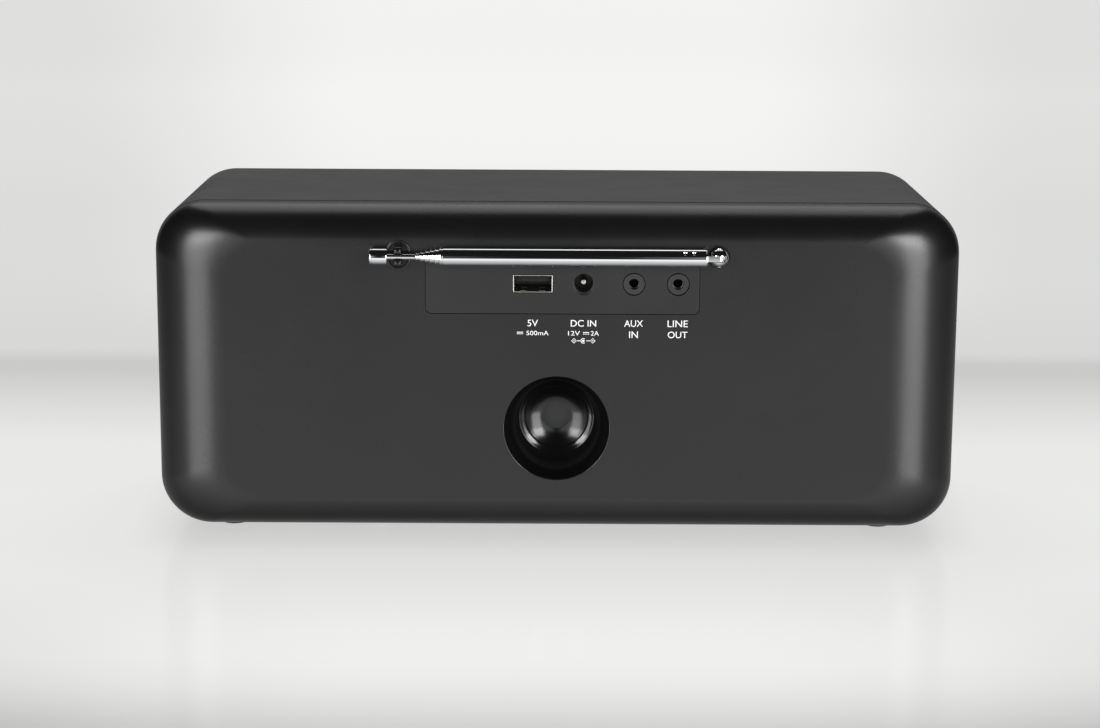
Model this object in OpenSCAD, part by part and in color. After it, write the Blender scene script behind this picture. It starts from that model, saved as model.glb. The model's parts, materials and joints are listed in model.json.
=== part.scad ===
// Tabletop stereo radio. The front faces -Y, the connector side faces +Y and +Z is up.
// The origin is the centre of the footprint, at the height of the feet.

/* [Cabinet] */
// Width of the cabinet
body_w = 270; // [264:1:320]
// Height of the cabinet without its feet
body_h = 111; // [111:1:130]
// Depth of the sleeve, from its front edge to the rear cover
sleeve_depth = 87; // [84:1:140]
// Depth of the rear cover
cover_depth = 17; // [16:0.5:20]
// Radius of the cabinet's four long corners
corner_r = 17; // [15:0.5:19]
// Wall of the sleeve
sleeve_wall = 3; // [2.8:0.1:3.2]
// Wall of the rear cover
cover_wall = 2.6; // [2.4:0.1:2.8]
// Height of the rubber feet below the cabinet
foot_h = 2; // [1.5:0.5:4]

/* [Rear panel] */
// Width of the rounding at the left and right of the rear cover
side_round = 25; // [20:1:30]
// Height of the rounding at the top and bottom of the rear cover
top_round = 13; // [10:0.5:13]
// Height of the connector row below the top of the cabinet
jack_drop = 25.2; // [24:0.2:27]
// Width of the connector plate
plate_w = 90.4; // [90:0.2:92]
// Height of the connector plate
plate_h = 20; // [19:0.2:20.4]
// Radius of the bass port's mouth
port_r = 17.5; // [16:0.5:18]
// Height of the bass port's axis above the bottom of the cabinet
port_rise = 37; // [35:0.5:38]

/* [Antenna] */
// Height of the antenna below the top of the cabinet
mast_drop = 15.8; // [15:0.2:17]
// Distance from the rear panel to the antenna's axis
mast_off = 3.8; // [3.6:0.1:5]
// Outer diameter of the widest antenna tube
tube_d = 6; // [6:0.1:6.4]
// Length of the widest antenna tube
tube_len = 87.4; // [80:0.2:92]
// Length that each narrower tube shows when the antenna is closed
tube_step = 1.57; // [1.2:0.01:2]

/* [Front] */
// Width of the control fascia between the two grilles
fascia_w = 92; // [90:1:96]
// Radius of the tuning knob
knob_r = 15; // [12:0.5:17]
// Distance that the knob stands in front of the sleeve
knob_proud = 12; // [10:0.5:16]
// Distance from the middle of the cabinet to each loudspeaker's axis
driver_x = 88.5; // [87:0.5:92]
// Radius of the field of holes in each grille
grille_field_r = 31; // [24:1:33]
// Distance between neighbouring holes in a grille
grille_pitch = 3.6; // [3.4:0.1:6]

/* [Hidden] */
$fn = 64;

// Levels along Y
tube_r = tube_d / 2;
depth_all = knob_proud + sleeve_depth + cover_depth + mast_off + tube_r;
y_front = -depth_all / 2 + knob_proud;
y_seam = y_front + sleeve_depth;
y_back = y_seam + cover_depth;
y_mast = y_back + mast_off;
y_baffle = y_front + 1.6;
baffle_t = 5;
y_driver = y_baffle + baffle_t;
y_board = y_front + 9;
board_t = 1.6;
y_main = y_back - 16;
fascia_proud = 0.4;

// Levels along Z
z_low = foot_h;
z_top = foot_h + body_h;
z_mid = foot_h + body_h / 2;
z_jack = z_top - jack_drop;
z_mast = z_top - mast_drop;
z_port = foot_h + port_rise;
z_knob = foot_h + 30;
z_screen = z_top - 33;

// Connector places along X
usb_x = 8.1;
dc_x = -8.7;
aux_x = -25.3;
line_x = -39.9;
plate_x = -1.7;

// Antenna
mast_x = -53;
clip_x = 52.4;
tube_wall = 0.3;
slide_gap = 0.05;
tube_shrink = 2 * (tube_wall + slide_gap);
tube_count = 6;
tube_start = 4.4;
plug_len = 8.8;
crimp_turn = 69;
nest_start = tube_start + plug_len + 0.8;
nest_step = 0.3;
rod_r = tube_d / 2 - tube_count * (tube_wall + slide_gap);
rod_show = 9.2;
tip_len = 5.9;
tip_r = 2.8;
tube_end = tube_start + tube_len;
rod_end = tube_end + (tube_count - 1) * tube_step + rod_show;
knuckle_r = 3.15;
knuckle_back = 0.8;
swivel_r = 2.5;
boss_len = 14;
pin_r = 0.8;
tang_t = 1.9;

// Joinery
gap = 0.15;
lip_t = 2;
lip_len = 6;
inner_w = body_w - 2 * sleeve_wall;
inner_h = body_h - 2 * sleeve_wall;
inner_r = corner_r - sleeve_wall;
case_screw_x = 60;
case_screw_ys = [y_driver + 4, y_seam - lip_len / 2];
foot_x = 111;
foot_ys = [y_front + 12, y_seam - 8];
foot_r = 5;
foot_sink = 1;

// Boards
main_board_w = 116;
main_board_h = 44;
main_board_z = z_top - 29;
main_posts = [
    [-48, main_board_z - 17], [48, main_board_z - 17],
    [-32, main_board_z + 18], [34, main_board_z + 18]
];
front_board_w = 79;
front_board_h = 92;
front_posts = [[-15, z_low + 13], [15, z_low + 13], [-36.5, z_top - 14], [36.5, z_top - 14]];
encoder_w = 12;
shaft_r = 3;

// Buttons, three on each side of the knob
button_r = 4.5;
button_x = 31;
button_pitch = 13;
button_places = [for (side = [-1, 1], row = [1, 0, -1]) [side * button_x, z_knob + row * button_pitch]];

// Loudspeakers
driver_flange_r = 34;
driver_hole_r = 28.5;
driver_screw_r = 31.2;

// Colours
satin_black = [0.055, 0.055, 0.058];
sleeve_grey = [0.13, 0.125, 0.135];
gloss_black = [0.02, 0.02, 0.022];
chrome = [0.85, 0.86, 0.88];
steel = [0.6, 0.61, 0.63];
board_green = [0.06, 0.24, 0.13];
rubber_black = [0.03, 0.03, 0.03];

// Helpers: outlines and solids along one axis

// A rectangle with round corners in the XY plane, centred
module rounded_rect(w, h, r) {
    square([w - 2 * r, h], center = true);
    square([w, h - 2 * r], center = true);
    for (sx = [-1, 1], sy = [-1, 1])
        translate([sx * (w / 2 - r), sy * (h / 2 - r)])
            circle(r);
}

// Draws a 2D child, X across and Y up, as a solid between two levels along Y
module along_y(from, to) {
    translate([0, to, 0])
        rotate([90, 0, 0])
            linear_extrude(to - from)
                children();
}

// A round bar along Y
module bar_y(x, z, r, from, to) {
    translate([x, to, z])
        rotate([90, 0, 0])
            cylinder(r = r, h = to - from);
}

// A block given by its middle in X and Z, its size, and two levels along Y
module block_y(x, z, w, h, from, to) {
    translate([x - w / 2, from, z - h / 2])
        cube([w, to - from, h]);
}

// Turns a profile of [radius, depth] points about an axis along Y at x, z; depth grows towards +Y
module lathe_y(x, y, z) {
    translate([x, y, z])
        rotate([-90, 0, 0])
            rotate_extrude()
                children();
}

// Turns a profile of [radius, distance] points about the antenna's axis
module lathe_mast() {
    rotate([0, 90, 0])
        rotate_extrude()
            children();
}

// Places its children at the antenna's pivot
module at_mast() {
    translate([mast_x, y_mast, z_mast])
        children();
}

// Lofts: the rear cover and the wires

ARC_STEPS = 10;
ROUND_STEPS = 14;
WIRE_STEPS = 14;
WIRE_SIDES = 8;

// Points of a rounded rectangle at level y, centred on the cabinet's axis
function ring(w, h, r, y) = [
    for (corner = [0:3], step = [0:ARC_STEPS])
        let (
            a = 90 * (corner + step / ARC_STEPS),
            cx = (corner == 0 || corner == 3 ? 1 : -1) * (w / 2 - r),
            cz = (corner < 2 ? 1 : -1) * (h / 2 - r)
        )
        [cx + r * cos(a), y, z_mid + cz + r * sin(a)]
];

// Rings of the rounded cover, set in from its outer surface by a wall
function cover_rings(wall) = [
    for (step = [0:ROUND_STEPS])
        let (
            a = 90 * step / ROUND_STEPS,
            inset_x = side_round * (1 - cos(a)),
            inset_z = top_round * (1 - cos(a))
        )
        ring(
            body_w - 2 * (inset_x + wall),
            body_h - 2 * (inset_z + wall),
            corner_r - wall - (corner_r - 12) * (1 - cos(a)),
            y_seam + (cover_depth - wall) * sin(a)
        )
];

// Joins rings of equal length into a closed solid
module loft(rings) {
    n = len(rings[0]);
    last = len(rings) - 1;
    sides = [
        for (i = [0:last - 1], k = [0:n - 1])
            let (a = i * n + k, b = i * n + (k + 1) % n)
            each [[a, b, a + n], [b, b + n, a + n]]
    ];
    first_cap = [for (k = [n - 1:-1:0]) k];
    last_cap = [for (k = [0:n - 1]) last * n + k];
    polyhedron([for (r = rings) each r], concat([first_cap, last_cap], sides));
}

// A point along a smooth curve that leaves a towards b and reaches d from c
function curve_point(a, b, c, d, t) =
    pow(1 - t, 3) * a + 3 * pow(1 - t, 2) * t * b + 3 * (1 - t) * t * t * c + pow(t, 3) * d;

// Rings of a wire along that curve, each square to it, for a curve that always runs towards -Y
function wire_rings(a, b, c, d, r) = [
    for (step = [0:WIRE_STEPS])
        let (
            t = step / WIRE_STEPS,
            here = curve_point(a, b, c, d, t),
            ahead = curve_point(a, b, c, d, t + 0.001) - curve_point(a, b, c, d, t - 0.001),
            run = ahead / norm(ahead),
            side = cross([0, 0, 1], run) / norm(cross([0, 0, 1], run)),
            up = cross(run, side)
        )
        [
            for (k = [0:WIRE_SIDES - 1])
                let (a = k * 360 / WIRE_SIDES)
                here + r * (cos(a) * side + sin(a) * up)
        ]
];

// Cabinet

module cabinet_sleeve() {
    color(sleeve_grey)
        difference() {
            translate([0, 0, z_mid])
                along_y(y_front, y_seam)
                    difference() {
                        rounded_rect(body_w, body_h, corner_r);
                        rounded_rect(inner_w, inner_h, inner_r);
                    }
            for (sx = [-1, 1], y = case_screw_ys)
                translate([sx * case_screw_x, y, z_low - 1]) {
                    cylinder(r = 1.6, h = sleeve_wall + 2);
                    cylinder(r = 3.2, h = 2.8);
                }
            for (sx = [-1, 1], y = foot_ys)
                translate([sx * foot_x, y, z_low - 1])
                    cylinder(r = foot_r + 0.1, h = 1 + foot_sink);
        }
}

// The lip that enters the sleeve, with the blocks that take the case screws
module cover_lip() {
    difference() {
        union() {
            translate([0, 0, z_mid])
                along_y(y_seam - lip_len, y_seam + 3)
                    rounded_rect(inner_w - 2 * gap, inner_h - 2 * gap, inner_r - gap);
            translate([0, 0, z_mid])
                along_y(y_seam, y_seam + 3)
                    rounded_rect(body_w - 4, body_h - 4, corner_r - 2);
        }
        translate([0, 0, z_mid])
            along_y(y_seam - lip_len - 1, y_seam + 4)
                rounded_rect(
                    inner_w - 2 * gap - 2 * lip_t, inner_h - 2 * gap - 2 * lip_t, inner_r - gap - lip_t
                );
    }
    for (sx = [-1, 1])
        block_y(sx * case_screw_x, z_low + sleeve_wall + gap + 3.5, 12, 7, y_seam - lip_len, y_seam + 3);
}

module rear_cover() {
    color(satin_black)
        difference() {
            union() {
                difference() {
                    loft(cover_rings(0));
                    translate([0, -0.01, 0])
                        loft(cover_rings(cover_wall));
                }
                cover_lip();
                // pad behind the connector plate
                translate([plate_x, 0, z_jack])
                    along_y(y_back - 4.6, y_back - 1)
                        rounded_rect(plate_w + 3, plate_h + 3, 2);
                // ring behind the bass port's mouth
                bar_y(0, z_port, port_r + 2.6, y_back - 3.4, y_back - 1);
                // boss of the antenna's swivel
                bar_y(mast_x, z_mast, 7, y_back - boss_len, y_back - 1);
                for (p = main_posts)
                    bar_y(p.x, p.y, 3, y_main, y_back - 2);
            }
            // pocket and window of the connector plate
            translate([plate_x, 0, z_jack]) {
                along_y(y_back - 2.1, y_back + 1)
                    rounded_rect(plate_w + 2 * gap, plate_h + 2 * gap, 2);
                along_y(y_back - 6, y_back)
                    rounded_rect(plate_w - 4, plate_h - 4, 1);
            }
            bar_y(0, z_port, port_r + 0.7, y_back - 4, y_back + 1);
            bar_y(mast_x, z_mast, 3.8, y_back - 4.6, y_back + 1);
            bar_y(mast_x, z_mast, swivel_r + slide_gap, y_back - boss_len - 1, y_back);
            bar_y(clip_x, z_mast, 2, y_back - 4, y_back + 1);
            for (p = main_posts)
                bar_y(p.x, p.y, 1.12, y_main - 1, y_main + 8);
            for (sx = [-1, 1])
                translate([sx * case_screw_x, y_seam - lip_len / 2, z_low])
                    cylinder(r = 1.32, h = 12);
        }
}

module front_baffle() {
    color(satin_black)
        difference() {
            union() {
                translate([0, 0, z_mid])
                    along_y(y_baffle, y_driver)
                        rounded_rect(inner_w - 2 * gap, inner_h - 2 * gap, inner_r - gap);
                for (sx = [-1, 1])
                    block_y(
                        sx * case_screw_x, z_low + sleeve_wall + gap + 4, 12, 8, y_baffle, y_driver + 8
                    );
            }
            for (sx = [-1, 1]) {
                bar_y(sx * driver_x, z_mid, driver_hole_r, y_baffle - 1, y_driver + 1);
                translate([sx * case_screw_x, case_screw_ys[0], z_low])
                    cylinder(r = 1.32, h = 12);
                for (a = [45:90:315])
                    bar_y(
                        sx * driver_x + driver_screw_r * cos(a), z_mid + driver_screw_r * sin(a),
                        1.12, y_driver - 3.5, y_driver + 1
                    );
            }
            translate([0, 0, z_mid])
                along_y(y_baffle - 1, y_driver + 1)
                    square([fascia_w - 10, inner_h - 10], center = true);
        }
}

module foot(sx, y) {
    color(rubber_black)
        translate([sx * foot_x, y, 0])
            rotate_extrude()
                polygon([
                    [0, 0], [foot_r - 0.5, 0], [foot_r, 0.5],
                    [foot_r, foot_h + foot_sink], [0, foot_h + foot_sink]
                ]);
}

// Front

// Holes of one grille: a field of rows, each shifted by half a pitch from the last
function field_holes() = [
    for (row = [-12:12], col = [-13:13])
        let (
            x = (col + (row % 2 == 0 ? 0 : 0.5)) * grille_pitch,
            z = row * grille_pitch * sqrt(3) / 2
        )
        if (norm([x, z]) <= grille_field_r) [x, z]
];

module grille(sx) {
    edge = fascia_w / 2 + 0.3;
    color([0.09, 0.09, 0.095])
        translate([0, 0, z_mid])
            along_y(y_baffle - 1.2, y_baffle)
                difference() {
                    intersection() {
                        rounded_rect(inner_w - 4 * gap, inner_h - 4 * gap, inner_r - 2 * gap);
                        translate([sx > 0 ? edge : -body_w - edge, -body_h])
                            square([body_w, 2 * body_h]);
                    }
                    translate([sx * driver_x, 0])
                        for (p = field_holes())
                            translate(p)
                                circle(1, $fn = 24);
                }
}

module control_fascia() {
    color(gloss_black)
        difference() {
            union() {
                translate([0, 0, z_mid])
                    along_y(y_front - fascia_proud, y_baffle)
                        rounded_rect(fascia_w, inner_h - 4 * gap, 2);
                for (p = front_posts)
                    bar_y(p.x, p.y, 2.6, y_baffle - 0.5, y_board);
            }
            translate([0, 0, z_screen]) {
                along_y(y_front - 1, y_front + 1)
                    rounded_rect(58.3, 44.3, 1.65);
                along_y(y_front, y_baffle + 1)
                    square([54, 40], center = true);
            }
            bar_y(0, z_knob, 4, y_front - 1, y_baffle + 1);
            for (p = button_places)
                bar_y(p.x, p.y, button_r + 0.3, y_front - 1, y_baffle + 1);
            for (p = front_posts)
                bar_y(p.x, p.y, 1.12, y_board - 5.5, y_board + 1);
        }
}

module display_window() {
    color([0.03, 0.03, 0.035])
        translate([0, 0, z_screen])
            along_y(y_front - fascia_proud, y_front + 1)
                rounded_rect(58, 44, 1.5);
}

module display_module() {
    color([0.16, 0.17, 0.18]) {
        block_y(0, z_screen, 64, 49, y_baffle, y_baffle + 4.4);
        block_y(0, z_screen - 20, 22, 5, y_baffle + 4.4, y_board);
    }
}

module button(p) {
    color([0.1, 0.1, 0.105])
        lathe_y(p.x, y_front, p.y)
            polygon([
                [0, -1.8], [button_r - 0.5, -1.8], [button_r, -1.3], [button_r, 1.7],
                [button_r + 1.1, 1.7], [button_r + 1.1, 2.5], [2, 2.5], [2, 4], [0, 4]
            ]);
}

module tact_switches() {
    color([0.2, 0.2, 0.21])
        for (p = button_places) {
            block_y(p.x, p.y, 6, 6, y_board - 3.5, y_board);
            bar_y(p.x, p.y, 1.7, y_board - 4.3, y_board - 3.4);
        }
}

module front_board() {
    color(board_green)
        difference() {
            block_y(0, z_mid, front_board_w, front_board_h, y_board, y_board + board_t);
            for (p = front_posts)
                bar_y(p.x, p.y, 1.4, y_board - 1, y_board + board_t + 1);
        }
}

module encoder_body() {
    color(steel)
        difference() {
            union() {
                block_y(0, z_knob, encoder_w, encoder_w, y_board - 6.6, y_board);
                bar_y(0, z_knob, 3.6, y_front - 0.6, y_board - 6);
            }
            bar_y(0, z_knob, shaft_r + slide_gap, y_front - 1, y_board - 4);
            bar_y(0, z_knob, 5, y_board - 5, y_board - 1);
        }
}

module encoder_slider() {
    color([0.85, 0.85, 0.8])
        bar_y(0, z_knob, 4.7, y_board - 2.8, y_board - 1.6);
}

module encoder_shaft() {
    color(steel) {
        bar_y(0, z_knob, shaft_r, y_front - knob_proud + 3.1, y_board - 2.82);
        bar_y(0, z_knob, 4.6, y_board - 4.2, y_board - 3.6);
    }
}

module tuning_knob() {
    flutes = 36;
    color(gloss_black)
        difference() {
            lathe_y(0, y_front, z_knob)
                polygon([
                    [0, -knob_proud + 0.4], [knob_r - 2.6, -knob_proud + 0.4], [knob_r - 2, -knob_proud],
                    [knob_r - 0.8, -knob_proud], [knob_r, -knob_proud + 0.8], [knob_r, -1.6],
                    [knob_r - 0.4, -1.2], [0, -1.2]
                ]);
            bar_y(0, z_knob, shaft_r + 0.02, y_front - knob_proud + 3, y_front);
            for (i = [0:flutes - 1])
                translate([0, 0, z_knob])
                    rotate([0, i * 360 / flutes, 0])
                        bar_y(knob_r + 0.2, 0, 0.6, y_front - knob_proud + 1.6, y_front);
        }
}

// Loudspeakers: profiles are [radius, depth behind the baffle]

module speaker_frame(sx) {
    color([0.12, 0.12, 0.13])
        difference() {
            union() {
                lathe_y(sx * driver_x, y_driver, z_mid)
                    polygon([
                        [27.6, 0], [driver_flange_r, 0], [driver_flange_r, 1.2], [29.2, 1.2],
                        [18, 16.4], [11.2, 16.4], [11.2, 15], [16.8, 15]
                    ]);
                block_y(sx * (driver_x - 22.5), z_mid, 4, 8, y_driver + 11, y_driver + 12.6);
            }
            for (a = [45:90:315])
                bar_y(
                    sx * driver_x + driver_screw_r * cos(a), z_mid + driver_screw_r * sin(a),
                    1.4, y_driver - 1, y_driver + 2
                );
            for (a = [30:60:150])
                translate([sx * driver_x, 0, z_mid])
                    rotate([0, a, 0])
                        block_y(0, 0, 60, 11, y_driver + 5, y_driver + 10);
        }
}

module speaker_magnet(sx) {
    color([0.35, 0.35, 0.36])
        lathe_y(sx * driver_x, y_driver, z_mid)
            polygon([
                [0, 16.9], [9.3, 16.9], [9.3, 27], [12.5, 27], [12.5, 18.9], [11.1, 18.9],
                [11.1, 16.4], [20, 16.4], [20, 18.9], [22, 18.9], [22, 27], [20, 27], [20, 30], [0, 30]
            ]);
}

module speaker_cone(sx) {
    color([0.07, 0.07, 0.075])
        lathe_y(sx * driver_x, y_driver, z_mid)
            polygon([
                [0, 8.4], [4.8, 9.1], [8.4, 10.6], [10.7, 12], [25.2, 0.05], [25.2, 0.85],
                [11.1, 12.9], [10.4, 12.9], [10.4, 22], [10, 22],
                [10, 12.7], [8, 11.4], [4.5, 9.9], [0, 9.2]
            ]);
}

module speaker_surround(sx) {
    color(rubber_black)
        lathe_y(sx * driver_x, y_driver, z_mid)
            intersection() {
                translate([26.4, 0])
                    difference() {
                        circle(1.6);
                        circle(1.2);
                    }
                translate([20, -3])
                    square([10, 3]);
            }
}

// A pan-head screw along its own +Z: the head below the origin, the shank above it
module screw(shank_r, shank_len, head_r, head_h) {
    difference() {
        union() {
            translate([0, 0, -head_h])
                cylinder(r = head_r, h = head_h);
            cylinder(r = shank_r, h = shank_len);
        }
        for (a = [0, 90])
            rotate([0, 0, a])
                translate([-head_r * 0.6, -0.25, -head_h - 1])
                    cube([head_r * 1.2, 0.5, 1.6]);
    }
}

module speaker_screws() {
    color(steel)
        for (sx = [-1, 1], a = [45:90:315])
            translate([
                sx * driver_x + driver_screw_r * cos(a), y_driver + 1.2, z_mid + driver_screw_r * sin(a)
            ])
                rotate([90, 0, 0])
                    screw(1.1, 4, 2.2, 1.4);
}

module board_screws() {
    color(steel) {
        for (p = main_posts)
            translate([p.x, y_main - board_t, p.y])
                rotate([-90, 0, 0])
                    screw(1.1, 7, 2.4, 1.5);
        for (p = front_posts)
            translate([p.x, y_board + board_t, p.y])
                rotate([90, 0, 0])
                    screw(1.1, 6, 2.2, 1.4);
    }
}

module case_screws() {
    color(steel)
        for (sx = [-1, 1], y = case_screw_ys)
            translate([sx * case_screw_x, y, z_low + 1.8])
                screw(1.3, 8, 2.8, 1.5);
}

// Connectors

module jack_plate() {
    color(satin_black)
        difference() {
            translate([plate_x, 0, z_jack])
                along_y(y_back - 2.1, y_back - 0.1)
                    rounded_rect(plate_w, plate_h, 1.85);
            block_y(usb_x, z_jack, 13.5, 6.2, y_back - 3, y_back + 1);
            bar_y(dc_x, z_jack, 3.3, y_back - 3, y_back + 1);
            bar_y(aux_x, z_jack, 3.8, y_back - 3, y_back + 1);
            bar_y(line_x, z_jack, 3.8, y_back - 3, y_back + 1);
        }
}

module usb_shell() {
    color(steel)
        difference() {
            block_y(usb_x, z_jack, 13.1, 5.8, y_main, y_back - 0.2);
            block_y(usb_x, z_jack, 12.5, 5.2, y_main + 1.2, y_back);
        }
}

module usb_tongue() {
    color(rubber_black)
        block_y(usb_x, z_jack + 1.2, 11.2, 1.8, y_main + 1.2, y_back - 2.4);
}

module dc_jack() {
    color(rubber_black)
        difference() {
            block_y(dc_x, z_jack, 9, 11, y_main, y_back - 2.2);
            bar_y(dc_x, z_jack, 3.15, y_back - 11.5, y_back);
            bar_y(dc_x, z_jack, 1.02, y_main + 1, y_back);
        }
}

module dc_pin() {
    color(chrome)
        lathe_y(dc_x, y_back, z_jack)
            polygon([[0, -4], [0.7, -4], [1, -4.4], [1, y_main + 1 - y_back], [0, y_main + 1 - y_back]]);
}

module audio_jack(x) {
    color([0.07, 0.07, 0.075])
        difference() {
            union() {
                bar_y(x, z_jack, 3.5, y_back - 3, y_back - 0.2);
                block_y(x, z_jack, 8, 9, y_main, y_back - 2.3);
            }
            bar_y(x, z_jack, 1.8, y_main + 1.6, y_back);
        }
}

module main_board() {
    chips = [[20, -10, 9, 9], [34, -12, 7, 7], [-4, -12, 12, 6]];
    color(board_green) {
        difference() {
            block_y(0, main_board_z, main_board_w, main_board_h, y_main - board_t, y_main);
            bar_y(mast_x, z_mast, 8, y_main - 3, y_main + 1);
            for (p = main_posts)
                bar_y(p.x, p.y, 1.4, y_main - 3, y_main + 1);
        }
        for (c = chips)
            block_y(c.x, main_board_z + c.y, c[2], c[3], y_main - board_t - 1.2, y_main - board_t);
        for (x = [46, 52.5])
            bar_y(x, main_board_z + 6, 2.5, y_main - board_t - 9, y_main - board_t);
    }
}

module radio_module() {
    color(steel)
        block_y(-30, main_board_z + 2, 26, 22, y_main - board_t - 3.2, y_main - board_t);
}

module ribbon_cable() {
    from = y_board + board_t;
    to = y_main - board_t;
    z_end = z_top - 21;
    sag = 7;
    thick = 0.8;
    steps = 16;
    droop = [
        for (i = [0:steps])
            let (t = i / steps)
                [from + (to - from) * t, z_end - 4 * sag * t * (1 - t)]
    ];
    lower = [for (i = [steps:-1:0]) droop[i] - [0, thick]];
    color([0.7, 0.7, 0.68])
        translate([10, 0, 0])
            rotate([90, 0, 90])
                linear_extrude(16)
                    polygon(concat(droop, lower));
}

module speaker_leads() {
    wire_r = 0.8;
    color([0.5, 0.05, 0.05])
        for (sx = [-1, 1], dz = [-1.6, 1.6]) {
            start = [sx * 40, y_main - board_t, main_board_z - 14 + dz];
            finish = [sx * (driver_x - 23.2), y_driver + 12.6, z_mid + dz];
            loft(wire_rings(start, start - [0, 24, 0], finish + [0, 24, 0], finish, wire_r));
        }
}

// Bass port: a glossy cup, profile points are [radius, depth inside the panel]

port_throat_r = 4.8;
port_floor = 20.66;

function cup_mouth() = [[port_r + 0.15, 0], [port_r, 0.25], [port_r, 2], [port_r - 0.1, 3]];
function cup_wall() = [[16.9, 7], [16, 10.5], [14.7, 13.6], [13, 16.2]];
function cup_shoulder() = [[12.3, 16.75], [11.5, 17.13], [10.8, 17.3], [10.6, 17.5], [10.45, 18.2]];
function cup_dish() = [[8.5, 19.34], [6.5, 20.2], [port_throat_r, port_floor], [0, port_floor]];

function cup_inner() = concat(cup_mouth(), cup_wall(), cup_shoulder(), cup_dish());

module bass_port() {
    inner = [for (p = cup_inner()) [p.x, -p.y]];
    outer = [
        [0, -22], [port_throat_r + 0.8, -22], [12.4, -18.6], [15.2, -14.8], [17.6, -9], [18.8, -6],
        [port_r + 4, -6], [port_r + 4, -3.45], [port_r + 0.6, -3.45], [port_r + 0.6, 0]
    ];
    color(gloss_black)
        lathe_y(0, y_back, z_port)
            polygon(concat(inner, outer));
}

// Antenna, drawn from its pivot and closed along +X

function head_arc() = [
    for (a = [90:-9:0])
        [knuckle_r * cos(a), -knuckle_back + knuckle_r * sin(a)]
];

module antenna_swivel() {
    sink = mast_off + 4.3;
    color(chrome)
        at_mast()
            difference() {
                rotate([-90, 0, 0])
                    rotate_extrude()
                        polygon(concat(
                            head_arc(),
                            [
                                [knuckle_r, -sink], [swivel_r, -sink],
                                [swivel_r, -mast_off - boss_len - 0.3], [0, -mast_off - boss_len - 0.3]
                            ]
                        ));
                // slot for the tang, open outwards and towards the antenna
                translate([-2.3, -2.3, -tang_t / 2 - 0.1])
                    cube([8, 8, tang_t + 0.2]);
                translate([0, 0, -5])
                    cylinder(r = pin_r + 0.02, h = 10);
                rotate([90, 0, 0])
                    translate([0, 0, mast_off + boss_len - 7])
                        cylinder(r = 1.12, h = 8);
            }
}

module antenna_pin() {
    color(steel)
        at_mast()
            translate([0, 0, -2.9])
                cylinder(r = pin_r, h = 5.8);
}

module antenna_screw() {
    color(steel)
        translate([mast_x, y_back - boss_len - 0.3, z_mast])
            rotate([-90, 0, 0])
                screw(1.1, 6, 4.4, 1.5);
}

module antenna_plug() {
    plug_r = tube_r - tube_wall - 0.02;
    color(chrome)
        at_mast()
            difference() {
                union() {
                    lathe_mast()
                        polygon([
                            [0, tube_start - 0.6], [tube_r - 0.3, tube_start - 0.6],
                            [tube_r, tube_start - 0.3], [tube_r, tube_start],
                            [plug_r, tube_start], [plug_r, tube_start + plug_len],
                            [0, tube_start + plug_len]
                        ]);
                    translate([0, 0, -tang_t / 2])
                        cylinder(r = 1.9, h = tang_t);
                    translate([0, -1.9, -tang_t / 2])
                        cube([tube_start, 3.8, tang_t]);
                }
                translate([0, 0, -2])
                    cylinder(r = pin_r + slide_gap, h = 4);
            }
}

// Tube number n, from 1, the widest
module antenna_tube(n) {
    outer = tube_r - (n - 1) * tube_shrink / 2;
    inner = outer - tube_wall;
    from = n == 1 ? tube_start : nest_start + (n - 2) * nest_step;
    to = tube_end + (n - 1) * tube_step;
    color(chrome)
        at_mast()
            difference() {
                lathe_mast()
                    polygon([
                        [inner, from], [outer, from], [outer, to - 0.5], [outer - 0.08, to - 0.2],
                        [outer - 0.2, to], [inner, to]
                    ]);
                // crimps that hold the plug
                if (n == 1)
                    for (along = [4, 6.9], a = [crimp_turn:120:crimp_turn + 240])
                        rotate([a, 0, 0])
                            translate([tube_start + along, 0, outer + 0.8])
                                sphere(1);
            }
}

module antenna_rod() {
    color(chrome)
        at_mast()
            rotate([0, 90, 0])
                translate([0, 0, nest_start + (tube_count - 1) * nest_step])
                    cylinder(r = rod_r, h = rod_end + 3 - nest_start - (tube_count - 1) * nest_step);
}

module antenna_tip() {
    color(chrome)
        at_mast()
            lathe_mast()
                polygon([
                    [0, rod_end + 3], [rod_r + 0.01, rod_end + 3], [rod_r + 0.01, rod_end],
                    [tip_r - 0.5, rod_end], [tip_r, rod_end + 0.5], [tip_r, rod_end + tip_len - 0.8],
                    [tip_r - 0.25, rod_end + tip_len - 0.3],
                    [tip_r - 0.9, rod_end + tip_len], [0, rod_end + tip_len]
                ]);
}

module antenna_clip() {
    color(rubber_black)
        difference() {
            union() {
                translate([clip_x, 0, z_mast])
                    along_y(y_back, y_back + 0.9)
                        rounded_rect(8, 10, 3.9);
                bar_y(clip_x, z_mast, 1.95, y_back - 4, y_back + 0.5);
                // two jaws, above and below the rod
                for (sz = [-1, 1]) {
                    block_y(clip_x, z_mast + sz * 2.3, 3, 2.2, y_back + 0.5, y_mast + 1.4);
                    bar_y(clip_x, z_mast + sz * 2.3, 1.5, y_back + 0.5, y_mast + 0.4);
                }
            }
            // channel for the rod, which the jaws don't quite touch
            rotate([0, 90, 0])
                translate([-z_mast, y_mast, clip_x - 5])
                    cylinder(r = 1.3, h = 10);
            block_y(clip_x, z_mast, 10, 2.1, y_back + 1.6, y_mast + 4);
        }
}

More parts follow.
